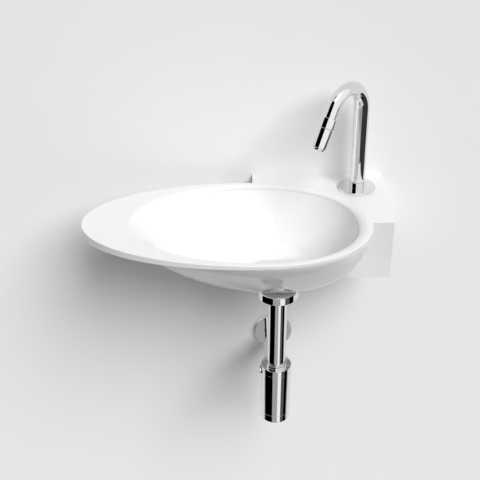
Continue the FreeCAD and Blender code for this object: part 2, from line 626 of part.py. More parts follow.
def rosette():
    """Thin dished cover on the pipe, flat against the wall, with a rubber ring inside it."""
    into_wall = V(0, 1, 0)
    back = -LOOSE / 3
    body = rod(ROSETTE_D, ROSETTE_THICK, DRAIN_X, back - ROSETTE_THICK, OUTLET_Z, into_wall)
    front = [e for e in body.Edges if abs(e.BoundBox.YMax - (back - ROSETTE_THICK)) < 0.01]
    body = body.makeFillet(ROSETTE_EDGE, front)
    body = body.cut(rod(ROSETTE_D - 2 * ROSETTE_SHELL, ROSETTE_THICK - ROSETTE_SHELL, DRAIN_X,
                        back - ROSETTE_THICK + ROSETTE_SHELL, OUTLET_Z, into_wall))
    hole = OUTLET_D + 2 * RUNNING
    body = body.cut(rod(hole, ROSETTE_THICK, DRAIN_X, back - ROSETTE_THICK, OUTLET_Z, into_wall))
    ring = tube(hole + 2 * ROSETTE_RING, hole, ROSETTE_RING, DRAIN_X,
                back - ROSETTE_THICK + ROSETTE_SHELL, OUTLET_Z, into_wall)
    save("wall_rosette", body)
    save("rosette_ring", ring)


# ---- tap: on the deck ------------------------------------------------------------------------
def tap_base():
    """Round escutcheon on a gasket, with the fixed collar on it."""
    disc = rod(ESCUTCHEON_D, ESCUTCHEON_THICK, TAP_X, TAP_Y, RIM_Z)
    top = [e for e in disc.Edges if e.BoundBox.ZMin > RIM_Z + ESCUTCHEON_THICK - 0.01]
    disc = disc.makeFillet(ESCUTCHEON_EDGE, top)
    disc = disc.cut(rod(GASKET_D, GASKET_THICK, TAP_X, TAP_Y, RIM_Z))
    save("tap_escutcheon", disc.cut(rod(SHANK_D, ESCUTCHEON_THICK, TAP_X, TAP_Y, RIM_Z)))
    save("tap_gasket", tube(GASKET_D, SHANK_D, GASKET_THICK, TAP_X, TAP_Y, RIM_Z))
    save("tap_base_collar", edged_ring(COLUMN_D, SHANK_D, BASE_COLLAR, RIM_Z + ESCUTCHEON_THICK))


def edged_ring(outer, inner, height, z):
    """Ring round the tap's axis whose outer edges are chamfered."""
    body = rod(outer, height, TAP_X, TAP_Y, z)
    ends = [e for e in body.Edges if e.BoundBox.ZLength < 0.01]
    return body.makeChamfer(RING_EDGE, ends).cut(rod(inner, height, TAP_X, TAP_Y, z))


def ring_places():
    """Heights of the two sealing rings on the journal."""
    return [JOURNAL_TOP - 2.5 * RING_WIRE, JOURNAL_TOP - 6 * RING_WIRE]


def tap_shank():
    """Threaded inlet through the deck; its upper part is the journal that the spout turns on."""
    bottom = DECK_UNDERSIDE - SHANK_BELOW_DECK
    shoulder = TURN_Z - SEAM
    body = rod(SHANK_D, shoulder - bottom - INLET_LENGTH, TAP_X, TAP_Y, bottom + INLET_LENGTH)
    body = body.fuse(rod(INLET_D, INLET_LENGTH, TAP_X, TAP_Y, bottom))
    body = body.fuse(rod(JOURNAL_D, JOURNAL_TOP - shoulder, TAP_X, TAP_Y, shoulder))
    for z in ring_places():
        body = body.cut(tube(SHANK_D, JOURNAL_D - RING_WIRE, RING_WIRE, TAP_X, TAP_Y,
                             z - RING_WIRE / 2))
    width = STOP_SCREW_D + 2 * LOOSE
    body = body.cut(tube(SHANK_D, JOURNAL_D - 2 * STOP_GROOVE, width, TAP_X, TAP_Y,
                         TURN_Z + STOP_HEIGHT - width / 2))
    return body.cut(rod(SHANK_BORE, JOURNAL_TOP - bottom, TAP_X, TAP_Y, bottom)).removeSplitter()


def spout_bore():
    return COLUMN_D - 2 * SPOUT_WALL


def journal_rings():
    outer = spout_bore() - 2 * RUNNING
    return [tube(outer, JOURNAL_D - RING_WIRE, RING_WIRE, TAP_X, TAP_Y, z - RING_WIRE / 2)
            for z in ring_places()]


def stop_screw():
    """Grub screw through the back of the column; its tip rides in the journal's groove."""
    tip = JOURNAL_D / 2 - STOP_GROOVE + LOOSE
    start = V(TAP_X, TAP_Y, TURN_Z + STOP_HEIGHT) - HEADING * tip
    return Part.makeCylinder(STOP_SCREW_D / 2, COLUMN_D / 2 - tip - SEAM, start, HEADING * -1)


def clamp_under_deck():
    """Rubber and steel horseshoe washers and the nut that pull the tap onto the deck."""
    slot = SHANK_D + 2 * LOOSE
    z = DECK_UNDERSIDE
    for name, thick in (("tap_clamp_pad", CLAMP_PAD), ("tap_clamp_plate", CLAMP_PLATE)):
        z -= thick
        mouth = Part.makeBox(CLAMP_D, slot, thick, V(TAP_X - CLAMP_D, TAP_Y - slot / 2, z))
        save(name, tube(CLAMP_D, slot, thick, TAP_X, TAP_Y, z).cut(mouth))
    z -= CLAMP_NUT_HEIGHT
    save("tap_clamp_nut", hex_nut(CLAMP_NUT_FLATS, CLAMP_NUT_HEIGHT, SHANK_D, TAP_X, TAP_Y, z))


# ---- tap: spout ------------------------------------------------------------------------------
def bend_place(turn):
    """Point and direction of the spout's axis, turn degrees into its bend."""
    a = math.radians(turn)
    foot = V(TAP_X, TAP_Y, BEND_Z)
    point = foot + HEADING * (ARC_RADIUS * (1 - math.cos(a))) + UP * (ARC_RADIUS * math.sin(a))
    return point, UP * math.cos(a) + HEADING * math.sin(a)


def bend(start_d, end_d):
    """The bend as a loft through circles that shrink evenly from start_d to end_d."""
    steps = 8
    wires = []
    for k in range(steps + 1):
        point, along = bend_place(ARC_SWEEP * k / steps)
        circle = Part.Circle(point, along, (start_d + (end_d - start_d) * k / steps) / 2)
        circle.XAxis = HEADING.cross(UP)
        wires.append(Part.Wire([circle.toShape()]))
    return Part.makeLoft(wires, True, False)


def spout():
    """Column, bend and straight end in one tube; the bore runs right through."""
    bend_end, direction = bend_place(ARC_SWEEP)
    straight = SPOUT_STRAIGHT - NOZZLE_PROUD - CONTROL_LENGTH
    body = rod(COLUMN_D, BEND_Z - COLUMN_Z, TAP_X, TAP_Y, COLUMN_Z)
    body = body.fuse(bend(COLUMN_D, SPOUT_END_D))
    body = body.fuse(Part.makeCylinder(SPOUT_END_D / 2, straight, bend_end, direction))
    bore_end = SPOUT_END_D - 2 * SPOUT_WALL
    bore = rod(spout_bore(), BEND_Z - COLUMN_Z, TAP_X, TAP_Y, COLUMN_Z)
    bore = bore.fuse(bend(spout_bore(), bore_end))
    bore = bore.fuse(Part.makeCylinder(bore_end / 2, straight, bend_end, direction))
    screw = V(TAP_X, TAP_Y, TURN_Z + STOP_HEIGHT)
    hole = Part.makeCylinder(STOP_SCREW_D / 2, COLUMN_D, screw, HEADING * -1)
    return body.cut(bore).cut(hole).removeSplitter()


def at_outlet(shape):
    """Puts a shape that stands on the origin onto the spout's outlet, its Z back up the spout."""
    bend_end, direction = bend_place(ARC_SWEEP)
    outlet_end = bend_end + direction * SPOUT_STRAIGHT
    shape.Placement = FreeCAD.Placement(outlet_end, FreeCAD.Rotation(UP, direction * -1))
    return shape


def collar_ring():
    """Plain ring on the end of the spout, above the turning sleeve."""
    high = NOZZLE_PROUD + CONTROL_LENGTH
    ring = rod(COLLAR_RING_D, COLLAR_RING_LENGTH, 0, 0, high)
    ends = [e for e in ring.Edges if e.BoundBox.ZLength < 0.01]
    ring = ring.makeFillet(COLLAR_RING_EDGE, ends)
    return at_outlet(ring.cut(rod(SPOUT_END_D, COLLAR_RING_LENGTH, 0, 0, high)))


def web_top():
    return NOZZLE_PROUD + NOZZLE_THREAD + SLEEVE_WEB


def disc_d():
    return CARTRIDGE_D - 2 * CARTRIDGE_WALL


def flange_z():
    return web_top() + LOOSE + CARTRIDGE_WALL + RUNNING


def control_sleeve():
    """Turning sleeve: its floor is fixed to the driver, its bore turns on the cartridge."""
    low = NOZZLE_PROUD
    length = CONTROL_LENGTH - SEAM
    body = cone(SLEEVE_END_D, SLEEVE_TOP_D, length, 0, 0, low)
    body = body.cut(rod(NOZZLE_THREAD_D, NOZZLE_THREAD, 0, 0, low))
    body = body.cut(rod(DRIVER_D, length, 0, 0, low))
    return at_outlet(body.cut(rod(CARTRIDGE_D + 2 * RUNNING, length, 0, 0, web_top())))


def nozzle():
    ring = rod(NOZZLE_D, NOZZLE_PROUD, 0, 0, 0)
    ends = [e for e in ring.Edges if e.BoundBox.ZLength < 0.01]
    ring = ring.makeFillet(NOZZLE_PROUD / 4, ends)
    ring = ring.fuse(rod(NOZZLE_THREAD_D, NOZZLE_THREAD + NOZZLE_PROUD / 2, 0, 0, NOZZLE_PROUD / 2))
    length = NOZZLE_PROUD + NOZZLE_THREAD
    return at_outlet(ring.cut(rod(NOZZLE_BORE, length, 0, 0, 0)).removeSplitter())


def disc_driver():
    """Hollow spindle: its hub is held in the sleeve's floor, its flange carries the turning disc."""
    low = NOZZLE_PROUD + NOZZLE_THREAD
    hub = rod(DRIVER_D, flange_z() - low, 0, 0, low)
    flange = rod(disc_d() - 2 * RUNNING, DRIVER_FLANGE, 0, 0, flange_z())
    body = hub.fuse(flange)
    return at_outlet(body.cut(rod(DRIVER_BORE, 2 * CONTROL_LENGTH, 0, 0, 0)).removeSplitter())


def disc_ways(z, turn):
    """The two holes of a ceramic disc."""
    ways = []
    for side in (0, 180):
        way = rod(DISC_WAY_D, DISC_THICK, DRIVER_BORE / 2 - DISC_WAY_D / 2, 0, z)
        way.rotate(V(0, 0, 0), UP, turn + side)
        ways.append(way)
    return ways[0].fuse(ways[1])


def discs():
    z = flange_z() + DRIVER_FLANGE
    turning = rod(disc_d() - 2 * RUNNING, DISC_THICK, 0, 0, z)
    save("turning_disc", at_outlet(turning.cut(disc_ways(z, 90))))
    z += DISC_THICK + RUNNING
    fixed = rod(disc_d(), DISC_THICK, 0, 0, z)
    save("fixed_disc", at_outlet(fixed.cut(disc_ways(z, 0))))


def control_ring_z():
    return NOZZLE_PROUD + CONTROL_LENGTH - 3 * RING_WIRE


def cartridge_body():
    """Tube that holds the discs; its neck is screwed into the end of the spout."""
    high = NOZZLE_PROUD + CONTROL_LENGTH
    low = web_top() + LOOSE
    neck_d = SPOUT_END_D - 2 * SPOUT_WALL
    body = rod(CARTRIDGE_D, high - low, 0, 0, low).fuse(rod(neck_d, CARTRIDGE_NECK, 0, 0, high))
    seat = flange_z() + DRIVER_FLANGE + 2 * DISC_THICK + RUNNING
    chamber = low + CARTRIDGE_WALL
    body = body.cut(rod(disc_d(), seat - chamber, 0, 0, chamber))
    body = body.cut(rod(DRIVER_D + 2 * RUNNING, CARTRIDGE_WALL, 0, 0, low))
    body = body.cut(rod(DRIVER_BORE, CARTRIDGE_WALL, 0, 0, seat))
    way = rod(neck_d - 2 * CARTRIDGE_WALL, high + CARTRIDGE_NECK, 0, 0, seat + CARTRIDGE_WALL)
    groove = tube(COLLAR_RING_D, CARTRIDGE_D - RING_WIRE, RING_WIRE, 0, 0,
                  control_ring_z() - RING_WIRE / 2)
    return at_outlet(body.cut(way).cut(groove).removeSplitter())


def tap():
    tap_base()
    save("tap_shank", tap_shank())
    save("journal_rings", *journal_rings())
    save("spout_foot_ring", edged_ring(COLUMN_D, spout_bore(), FOOT_RING, TURN_Z))
    save("spout_bearing_bush", tube(spout_bore(), JOURNAL_D + 2 * RUNNING, BUSH_HEIGHT, TAP_X, TAP_Y,
                                    TURN_Z))
    save("spout_stop_screw", stop_screw())
    clamp_under_deck()
    save("spout", spout())
    save("spout_collar_ring", collar_ring())
    save("control_sleeve", control_sleeve())
    save("outlet_nozzle", nozzle())
    save("disc_driver", disc_driver())
    discs()
    save("cartridge_body", cartridge_body())
    save("control_ring", at_outlet(tube(CARTRIDGE_D, CARTRIDGE_D - RING_WIRE, RING_WIRE, 0, 0,
                                        control_ring_z() - RING_WIRE / 2)))


os.makedirs(OUT, exist_ok=True)
save("basin", basin())
fixings()
waste()
trap()
outlet()
rosette()
tap()
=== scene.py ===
import math

import bpy
import numpy as np
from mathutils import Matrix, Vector


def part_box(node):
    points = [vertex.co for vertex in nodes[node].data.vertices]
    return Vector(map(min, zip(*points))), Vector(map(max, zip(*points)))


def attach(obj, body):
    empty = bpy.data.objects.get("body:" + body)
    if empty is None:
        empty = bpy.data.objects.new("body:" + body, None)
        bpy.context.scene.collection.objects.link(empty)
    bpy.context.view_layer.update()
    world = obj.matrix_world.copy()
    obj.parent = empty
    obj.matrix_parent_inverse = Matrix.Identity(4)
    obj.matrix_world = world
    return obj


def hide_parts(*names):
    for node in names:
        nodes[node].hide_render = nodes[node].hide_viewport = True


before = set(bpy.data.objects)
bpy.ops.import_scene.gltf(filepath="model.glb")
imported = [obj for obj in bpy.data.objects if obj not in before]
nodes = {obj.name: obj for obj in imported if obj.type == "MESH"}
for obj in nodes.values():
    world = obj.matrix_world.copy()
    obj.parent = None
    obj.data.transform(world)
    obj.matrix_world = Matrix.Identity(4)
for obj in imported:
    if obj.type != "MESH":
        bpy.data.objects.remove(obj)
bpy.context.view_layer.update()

# ---- ceramic basin ------------------------------------------------------------------------------
# One casting of vitreous china, glazed white and fired: a flat egg-shaped plate with a bowl sunk in
# it, and a square block behind that stands against the wall, is hollow below and carries the tap.
mm = 0.001


def reach(name):
    """Lowest and highest corner of a CAD node, in millimetres."""
    low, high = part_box(name)
    return np.array(low) / mm, np.array(high) / mm


def finish(name, colour, metallic, roughness):
    """A new material with one Principled shader."""
    material = bpy.data.materials.new(name)
    material.use_nodes = True
    tree = material.node_tree
    shader = tree.nodes["Principled BSDF"]
    shader.inputs["Base Color"].default_value = (*colour, 1)
    shader.inputs["Metallic"].default_value = metallic
    shader.inputs["Roughness"].default_value = roughness
    return material, tree, shader


def mottle(tree, size, detail=2.0):
    """Noise on Object coordinates whose lumps are about size metres across."""
    place = tree.nodes.new("ShaderNodeTexCoord")
    noise = tree.nodes.new("ShaderNodeTexNoise")
    noise.inputs["Scale"].default_value = 1 / size
    noise.inputs["Detail"].default_value = detail
    tree.links.new(place.outputs["Object"], noise.inputs["Vector"])
    return noise


def vary(tree, noise, low, high):
    """Runs the noise evenly from low to high."""
    spread = tree.nodes.new("ShaderNodeMapRange")
    spread.inputs["From Min"].default_value = 0.3
    spread.inputs["From Max"].default_value = 0.7
    spread.inputs["To Min"].default_value = low
    spread.inputs["To Max"].default_value = high
    tree.links.new(noise.outputs["Fac"], spread.inputs["Value"])
    return spread.outputs["Result"]


def relief(tree, shader, noise, depth):
    """Unevenness of the surface, depth metres high."""
    bump = tree.nodes.new("ShaderNodeBump")
    bump.inputs["Distance"].default_value = depth
    bump.inputs["Strength"].default_value = 1.0
    tree.links.new(noise.outputs["Fac"], bump.inputs["Height"])
    tree.links.new(bump.outputs["Normal"], shader.inputs["Normal"])


glaze, tree, shader = finish("white_glaze", (0.785, 0.785, 0.785), 0.0, 0.05)
tree.links.new(vary(tree, mottle(tree, 0.05), 0.04, 0.07), shader.inputs["Roughness"])
relief(tree, shader, mottle(tree, 0.06), 0.00002)


def closed(name, rings, looped):
    """Mesh through rings[row, place], in millimetres, each ring counterclockwise seen against the way
    that the rows go. Looped, the last ring joins the first; otherwise a fan closes each end."""
    rows, places = rings.shape[:2]
    points = rings.reshape(-1, 3)
    row = np.arange(rows if looped else rows - 1)[:, None]
    place = np.arange(places)[None, :]
    after = (place + 1) % places
    above = (row + 1) % rows
    faces = np.stack([row * places + place, row * places + after, above * places + after,
                      above * places + place], -1).reshape(-1, 4).tolist()
    if not looped:
        points = np.vstack([points, rings[0].mean(0), rings[-1].mean(0)])
        first, last = rows * places, (rows - 1) * places
        faces += np.stack([np.full(places, first), after[0], place[0]], -1).tolist()
        faces += np.stack([np.full(places, first + 1), last + place[0], last + after[0]], -1).tolist()
    mesh = bpy.data.meshes.new(name)
    mesh.from_pydata((points * mm).tolist(), [], faces)
    piece = bpy.data.objects.new(name, mesh)
    bpy.context.scene.collection.objects.link(piece)
    return piece


quarter_circle = 0.5523  # share of its radius that the handle of a cubic quarter circle takes


def egg(x, y, z, nose, round_end, half_depth, fullness, steps=72):
    """Rings of the egg outline, one for each value of the arrays. Each quarter is a cubic curve whose
    two handles are as long as the quarter's fullness times its half axes."""
    values = np.broadcast_arrays(x, y, z, nose, round_end, half_depth, fullness)
    x, y, z, nose, round_end, half_depth, fullness = [v[:, None] for v in values]
    t = np.linspace(0, 1, steps, endpoint=False)[None, :]
    quarters = []
    plain = np.full_like(fullness, quarter_circle)
    for along, across, full, from_side in ((round_end, -half_depth, fullness, True),
                                           (round_end, half_depth, fullness, False),
                                           (-nose, half_depth, plain, True),
                                           (-nose, -half_depth, plain, False)):
        s = t if from_side else 1 - t
        near = 3 * (1 - s) * s ** 2
        far = 3 * (1 - s) ** 2 * s
        px = x + along * (full * far + near + s ** 3)
        py = y + across * ((1 - s) ** 3 + far + full * near)
        quarters.append(np.stack([px, py, z + 0 * px], -1))
    return np.concatenate(quarters, 1)


def wall_place(rim, floor, down, fullness):
    """Place of a bowl's wall: floor + (rim - floor) * (1 - down^power)^(1/root)."""
    power, root = fullness
    return floor + (rim - floor) * np.maximum(1 - down ** power, 0.0) ** (1 / root)


basin_low, basin_high = reach("basin")
tube_low, tube_high = reach("down_tube")
right_face, rim_z = basin_high[0], basin_high[2]
nose_end, pad_z = basin_low[0], basin_low[2]
nose, half_depth, round_fullness = 280.0, 137.9, 0.604
round_end = right_face - 36.0
egg_x, egg_y = nose_end + nose, basin_low[1] + half_depth
drain_x, drain_y = (tube_low + tube_high)[:2] / 2
plate_edge, plate_edge_round, plate_radius = 13.2, 1.8, 1.5
bowl_depth = 98.0
floor_z = rim_z - bowl_depth
quarter_turn = np.radians(np.linspace(0, 90, 9))


def egg_plate():
    """The flat plate: a rounded upper edge, a straight side and an underside that rises to the right."""
    inset = np.concatenate([[0.6, 0.17, 0.0], plate_radius * (1 - np.cos(quarter_turn[1:]))])
    high = np.concatenate([[0, 0, 0], rim_z - plate_radius * (1 - np.sin(quarter_turn[1:]))])
    rings = egg(egg_x, egg_y, high, nose - inset, round_end - egg_x - inset,
                half_depth - inset, round_fullness)
    rise_past_end = 10.0
    slope = (plate_edge - plate_edge_round) / (round_end + rise_past_end - nose_end)
    under = rim_z - plate_edge + slope * (rings[:3, :, 0] - nose_end)
    rings[:3, :, 2] = under + np.array([0, 0.17, 0.6])[:, None]
    return closed("egg_plate", rings, False)


def bowl_rings(z, left, rim, floor_radius, down, fullness):
    """Level outlines of the bowl: from the egg at the rim, whose right end and half depth rim gives, to
    the circle round the drain, each size by wall_place."""
    right = wall_place(rim[0], drain_x + floor_radius, down, fullness[0])
    half = wall_place(rim[1], floor_radius, down, fullness[1])
    middle = wall_place(egg_x, drain_x, down, fullness[1])
    y = wall_place(egg_y, drain_y, down, fullness[1])
    full = wall_place(round_fullness, quarter_circle, down, fullness[1])
    return egg(middle, y, z, middle - left, right - middle, half, full)


def bowl_outside():
    """Outside of the bowl, from just under the rim to the pad round the drain."""
    nose_outside, pad_radius, start, overhang = 211.0, 25.5, 6.0, 0.3
    nose_wall, right_wall, side_wall = (1.336, 1.947), (1.555, 2.791), (1.2, 1.1)
    down = np.append(np.sin(np.radians(np.linspace(90, 0, 64))), 0.0)
    z = rim_z - start - (rim_z - start - pad_z) * down
    z[-1] = rim_z - plate_radius
    left = wall_place(egg_x - nose_outside, drain_x - pad_radius, down, nose_wall)
    rim = (round_end - overhang, half_depth - overhang)
    rings = bowl_rings(z, left, rim, pad_radius, down, (right_wall, side_wall))
    return closed("bowl_outside", rings, False)


def bowl_inside():
    """The bowl's hollow: the lip rolls over, the wall falls to the flat floor; it opens upwards."""
    opening_nose, opening_round, opening_half = 206.0, 179.2, 131.0
    lip, lip_round, floor_radius, past_rim = 7.0, 16.0, 35.0, 5.0
    nose_wall, right_wall, side_wall = (0.55, 3.46), (1.35, 2.1), (0.95, 1.275)

    def left_wall(down):
        return wall_place(egg_x - opening_nose, drain_x - floor_radius, down, nose_wall)

    turn = np.radians(np.array([84, 76, 68, 60, 52, 44, 36, 28, 21, 15, 10, 7, 4, 4]))
    drop = lip * (1 - np.cos(turn))
    lip_z = rim_z - drop
    lip_z[-1] += past_rim
    lip_rings = egg(egg_x, egg_y, lip_z, egg_x - left_wall(drop / bowl_depth),
                    opening_round - lip_round * np.sin(turn), opening_half - lip * np.sin(turn),
                    round_fullness)
    down = np.sin(np.radians(np.linspace(90, 0, 60)))
    z = rim_z - lip - (bowl_depth - lip) * down
    wall = bowl_rings(z, left_wall((rim_z - z) / bowl_depth),
                      (egg_x + opening_round - lip_round, opening_half - lip), floor_radius, down,
                      (right_wall, side_wall))
    return closed("bowl_inside", np.concatenate([wall, lip_rings]), False)


def rounded_box(name, low, high, corner, edge, open_back=False):
    """Box whose upright corners have the radius corner and whose top edges have the radius edge."""
    z, inset = np.array([low[2], high[2]]), np.zeros(2)
    if edge:
        z = np.append(low[2], high[2] - edge + edge * np.cos(quarter_turn[::-1]))
        inset = np.append(0.0, edge * (1 - np.sin(quarter_turn[::-1])))
    inset = inset[:, None, None]
    back = np.zeros_like(inset) if open_back else inset
    behind = 0.2 if open_back else corner
    radii = np.maximum(np.array([corner, corner, behind, behind])[None, :, None] - inset, 0.05)
    side = np.array([-1, 1, 1, -1])[None, :, None]
    fore = np.array([-1, -1, 1, 1])[None, :, None]
    x_middle, y_middle = (low[0] + high[0]) / 2, (low[1] + high[1]) / 2
    x_half, y_half = (high[0] - low[0]) / 2, (high[1] - low[1]) / 2
    y_in = np.where(fore > 0, back, inset)
    angle = np.radians(np.array([180, 270, 0, 90]))[None, :, None] + quarter_turn[None, None, :]
    px = x_middle + side * (x_half - inset - radii) + radii * np.cos(angle)
    py = y_middle + fore * (y_half - y_in - radii) + radii * np.sin(angle)
    pz = z[:, None, None] + 0 * px
    return closed(name, np.stack([px, py, pz], -1).reshape(len(z), -1, 3), False)


def turned(name, outline, place, along, looped=True, around=192):
    """Outline of (radius, height) points carried round the axis through place, in millimetres."""
    along = np.array(along, float) / np.linalg.norm(along)
    aside = np.cross(along, (1.0, 0.0, 0.0) if abs(along[0]) < 0.8 else (0.0, 1.0, 0.0))
    aside /= np.linalg.norm(aside)
    across = np.cross(along, aside)
    turn = np.linspace(0, 2 * np.pi, around, endpoint=False)[None, :, None]
    radius, height = outline[:, 0, None, None], outline[:, 1, None, None]
    rings = np.array(place) + radius * (np.cos(turn) * aside + np.sin(turn) * across) + height * along
    return closed(name, rings, looped)


def drill(name, diameter, length, place, along):
    """Plain round cutter."""
    outline = np.array([(diameter / 2, 0.0), (diameter / 2, length)])
    return turned(name, outline, place, along, looped=False, around=96)


def carve(piece, operation, *tools):
    """Joins tools to the piece, or cuts them from it, and leaves one plain mesh."""
    for tool in tools:
        step = piece.modifiers.new("carve", "BOOLEAN")
        step.operation = operation
        step.solver = "EXACT"
        step.object = tool
    depsgraph = bpy.context.evaluated_depsgraph_get()
    result = bpy.data.meshes.new_from_object(piece.evaluated_get(depsgraph))
    piece.modifiers.clear()
    old = piece.data
    piece.data = result
    bpy.data.meshes.remove(old)
    for tool in tools:
        bpy.data.objects.remove(tool)


def show(piece, material, slot, body, *names, sharp=32):
    """Gives the piece its material and body in place of CAD nodes, with smooth, weighted shading that
    breaks at edges of more than sharp degrees."""
    piece.data.materials.clear()
    piece.data.materials.append(material)
    piece.data.shade_smooth()
    piece.data.set_sharp_from_angle(angle=math.radians(sharp))
    weigh = piece.modifiers.new("flat faces stay flat", "WEIGHTED_NORMAL")
    weigh.keep_sharp = True
    weigh.weight = 80
    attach(piece, body)
    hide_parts(*names)


block_front, shell, back_wall, deck = -174.0, 11.0, 14.0, 14.0
block_bottom = rim_z - 102.7
waste_bore, recess_bore, recess_drop, tap_bore, bolt_bore, bolt_side = 45.0, 62.6, 4.0, 35.0, 14.0, 70
past = 10  # how far a cutter reaches past a face
tap_x, tap_y = (sum(reach("tap_escutcheon")))[:2] / 2
basin = rounded_box("basin_casting", (-right_face, block_front, block_bottom), (right_face, 0, rim_z),
                    2.0, 1.0, open_back=True)
hollow = rounded_box("block_hollow", (shell - right_face, block_front + shell, block_bottom - past),
                     (right_face - shell, -back_wall, rim_z - deck), 1.0, 0.0)
carve(hollow, "DIFFERENCE", bowl_outside())
carve(basin, "DIFFERENCE", hollow)
carve(basin, "UNION", egg_plate(), bowl_outside())
up = (0, 0, 1)
carve(basin, "DIFFERENCE", bowl_inside(),
      drill("waste_hole", waste_bore, 60.0, (drain_x, drain_y, pad_z - past), up),
      drill("waste_recess", recess_bore, 24.0, (drain_x, drain_y, floor_z - recess_drop), up),
      drill("tap_hole", tap_bore, 40.0, (tap_x, tap_y, rim_z - deck - past), up),
      *[drill("bolt_hole", bolt_bore, back_wall + 2 * past, (x, -back_wall - past, 0), (0, 1, 0))
        for x in (-bolt_side, bolt_side)])
show(basin, glaze, "glazed_ceramic", "basin", "basin", sharp=13)

# ---- wall fixing --------------------------------------------------------------------------------
# Two zinc-plated hanger bolts screwed into the wall, nylon bushes through the ceramic back wall,
# washers and nuts; all of it out of sight in the room under the deck.


def dress(material, *names):
    """Gives CAD nodes a material."""
    for name in names:
        nodes[name].data.materials.clear()
        nodes[name].data.materials.append(material)
        nodes[name].data.shade_smooth()


zinc, tree, shader = finish("zinc_plate", (0.62, 0.63, 0.64), 1.0, 0.35)
tree.links.new(vary(tree, mottle(tree, 0.004), 0.28, 0.42), shader.inputs["Roughness"])
nylon, tree, shader = finish("white_nylon", (0.80, 0.80, 0.77), 0.0, 0.45)
tree.links.new(vary(tree, mottle(tree, 0.003), 0.4, 0.5), shader.inputs["Roughness"])
dress(zinc, "bolt_washers", "bolt_nuts", "hanger_bolts")
dress(nylon, "bolt_bushes")

# ---- waste --------------------------------------------------------------------------------------
# Brass waste pulled tight from below by the round chrome nut, with rubber above and below the
# ceramic, and a square chrome cover that lifts out of it on its stem.
chrome, tree, shader = finish("bright_chrome", (0.82, 0.82, 0.83), 1.0, 0.03)
tree.links.new(vary(tree, mottle(tree, 0.02), 0.02, 0.04), shader.inputs["Roughness"])
brass, tree, shader = finish("turned_brass", (0.70, 0.53, 0.27), 1.0, 0.3)
tree.links.new(vary(tree, mottle(tree, 0.003), 0.24, 0.38), shader.inputs["Roughness"])
rubber, tree, shader = finish("black_rubber", (0.02, 0.02, 0.02), 0.0, 0.6)
tree.links.new(vary(tree, mottle(tree, 0.002), 0.52, 0.68), shader.inputs["Roughness"])
dress(chrome, "drain_cover")
dress(brass, "waste_body")
dress(rubber, "waste_upper_seal", "waste_lower_seal", "cover_stem_ring", "waste_tube_seal")


def rounded(corners, radii, steps=7):
    """Closed outline of (radius, height) points, counterclockwise. Each corner is an arc that touches
    both of its sides, with one more point on each side a little past the arc."""
    corner = np.array(corners, float)
    radius = np.array(radii, float)[:, None] * np.ones((len(corner), 1))
    back = np.roll(corner, 1, 0) - corner
    ahead = np.roll(corner, -1, 0) - corner
    back /= np.linalg.norm(back, axis=1)[:, None]
    ahead /= np.linalg.norm(ahead, axis=1)[:, None]
    half = np.arccos(np.clip((back * ahead).sum(1), -1, 1))[:, None] / 2
    cut = radius / np.tan(half)
    inward = (back + ahead) / np.linalg.norm(back + ahead, axis=1)[:, None]
    middle = corner + inward * radius / np.sin(half)
    first = (corner + back * cut - middle)[:, None, :]
    last = (corner + ahead * cut - middle)[:, None, :]
    sweep = (np.pi - 2 * half)[:, :, None]
    share = np.linspace(0, 1, steps)[None, :, None]
    arc = (np.sin((1 - share) * sweep) * first + np.sin(share * sweep) * last) / np.sin(sweep)
    past = 0.3 * radius
    lead = (corner + back * (cut + past))[:, None, :]
    trail = (corner + ahead * (cut + past))[:, None, :]
    return np.concatenate([lead, middle[:, None, :] + arc, trail], 1).reshape(-1, 2)


nut_low, nut_high = reach("waste_cover_nut")
nut_r, nut_face_r, nut_slope = (nut_high[0] - nut_low[0]) / 2, 26.0, 3.2
nut_bottom, nut_top = nut_low[2], nut_high[2]
tube_r, tail_r = 16.0, 41.9 / 2
nut_floor = nut_bottom + 4.0
drain_place = (drain_x, drain_y, 0)
cover_nut = turned("waste_cover_nut_chrome",
                   rounded([(tube_r, nut_bottom), (nut_r, nut_bottom), (nut_r, nut_top - nut_slope),
                            (nut_face_r, nut_top), (tail_r, nut_top), (tail_r, nut_floor),
                            (tube_r, nut_floor)], [0.3, 1.2, 2.0, 0.5, 0.3, 0.3, 0.3]),
                   drain_place, up)
show(cover_nut, chrome, "chrome", "basin", "waste_cover_nut")

# ---- trap ---------------------------------------------------------------------------------------
# Chromed brass bottle trap hung on the down tube: a slightly tapering cup, a lid with a low neck sunk
# in its top, a small plug in its side and a cap that screws in from below.


def pipe(name, outer, inner, start, end, place, along, edge=0.3):
    """Round pipe from start to end along its axis, with both ends' edges rounded."""
    outline = rounded([(inner, start), (outer, start), (outer, end), (inner, end)], [edge] * 4)
    return turned(name, outline, place, along)


tube_wall = 1.5
down_tube = pipe("down_tube_chrome", tube_r, tube_r - tube_wall, tube_low[2], tube_high[2],
                 drain_place, up)
show(down_tube, chrome, "chrome", "basin", "down_tube")

lid_low, lid_high = reach("trap_lid")
lid_r, neck_r, neck = (lid_high[0] - lid_low[0]) / 2, 18.0, 6.5
lid_face = lid_high[2] - neck
groove_low = lid_low[2] + 1.8
groove_high = groove_low + 3.0
lid = turned("trap_lid_chrome",
             rounded([(tube_r, lid_low[2]), (lid_r, lid_low[2]), (lid_r, lid_face), (neck_r, lid_face),
                      (neck_r, lid_high[2]), (tube_r, lid_high[2]), (tube_r, groove_high),
                      (neck_r, groove_high), (neck_r, groove_low), (tube_r, groove_low)],
                     [0.2, 0.2, 0.3, 0.6, 0.7, 0.2, 0.1, 0.1, 0.1, 0.1]), drain_place, up)
show(lid, chrome, "chrome", "basin", "trap_lid")

